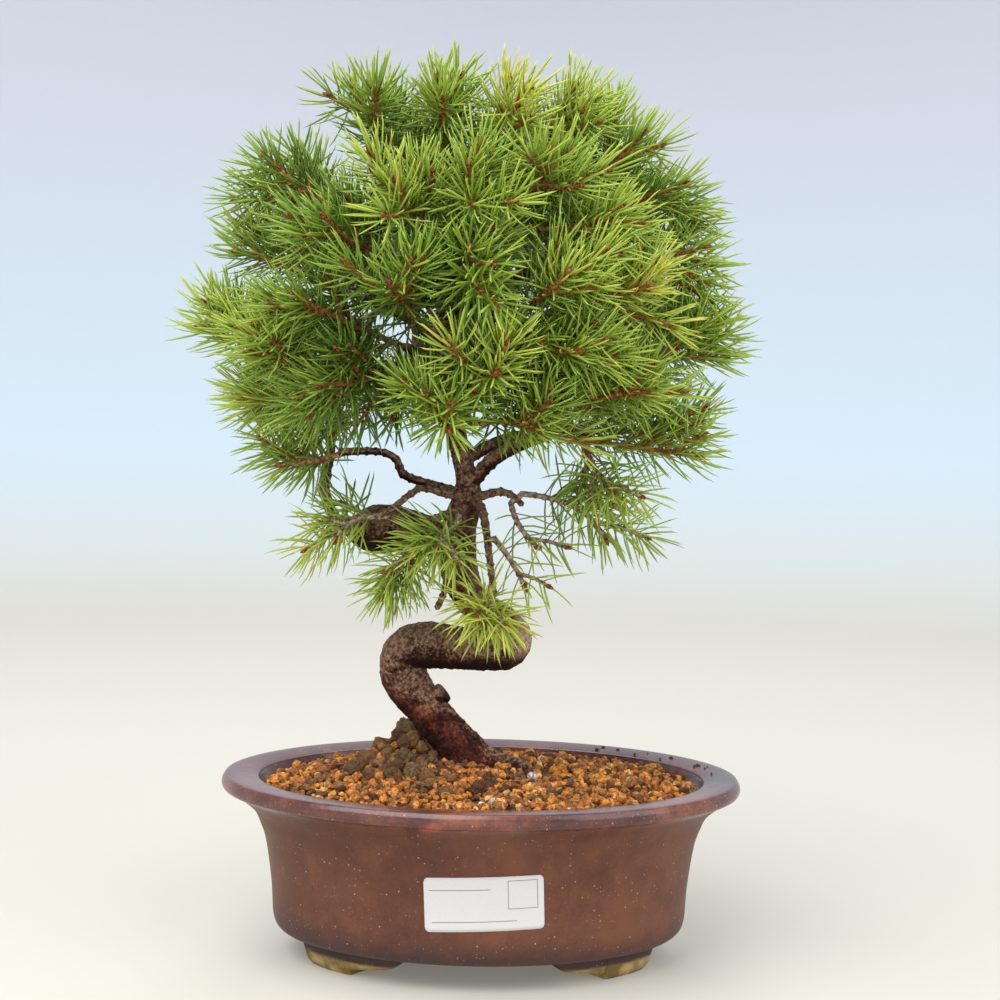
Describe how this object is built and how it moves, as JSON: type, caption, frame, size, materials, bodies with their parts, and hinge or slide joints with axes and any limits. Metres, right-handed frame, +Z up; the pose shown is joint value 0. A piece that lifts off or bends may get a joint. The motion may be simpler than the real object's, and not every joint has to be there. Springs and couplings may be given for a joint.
{
  "type": "spruce bonsai",
  "caption": "Small spruce trained as a bonsai, with an S-bent trunk and a round crown of needle sprays, planted in granular soil in an oval footed stoneware pot with a blank label.",
  "frame": {"origin": "on the floor under the middle of the whole object's box", "axes": "+Z up along the tree, +X to the right along the pot's length as the label is read, +Y to the back"},
  "size_m": [0.1886, 0.1624, 0.2836],
  "materials": {
    "stoneware": "satin brown-maroon stoneware with fine pale specks",
    "mesh_plastic": "matte black plastic mesh",
    "label_paper": "smooth white paper sticker, no text",
    "akadama": "matte fired-clay granules, orange, brown and dark",
    "bark": "rough red-brown bark with grey-tan flakes",
    "needles": null
  },
  "bodies": {
    "root": {"pot": "stoneware", "drain_mesh_left": "mesh_plastic", "drain_mesh_right": "mesh_plastic", "label": "label_paper", "soil": "akadama", "trunk": "bark", "spray_01": "needles", "spray_02": "needles", "spray_03": "needles", "spray_04": "needles", "spray_05": "needles", "spray_06": "needles", "spray_07": "needles", "spray_08": "needles", "spray_09": "needles", "spray_10": "needles", "spray_11": "needles", "spray_12": "needles", "spray_13": "needles", "spray_14": "needles", "spray_15": "needles", "spray_16": "needles", "spray_17": "needles", "spray_18": "needles", "spray_19": "needles", "spray_20": "needles", "spray_21": "needles", "spray_22": "needles", "spray_23": "needles", "spray_24": "needles", "spray_25": "needles", "spray_26": "needles", "spray_27": "needles", "spray_28": "needles", "spray_29": "needles", "spray_30": "needles", "spray_31": "needles", "spray_32": "needles", "spray_33": "needles", "spray_34": "needles", "spray_35": "needles", "spray_36": "needles", "spray_37": "needles", "spray_38": "needles", "spray_39": "needles", "spray_40": "needles", "spray_41": "needles", "spray_42": "needles", "spray_43": "needles", "spray_44": "needles", "spray_45": "needles", "spray_46": "needles", "spray_47": "needles", "spray_48": "needles", "spray_49": "needles", "spray_50": "needles", "spray_51": "needles", "spray_52": "needles", "spray_53": "needles", "spray_54": "needles"}
  },
  "joints": []
}
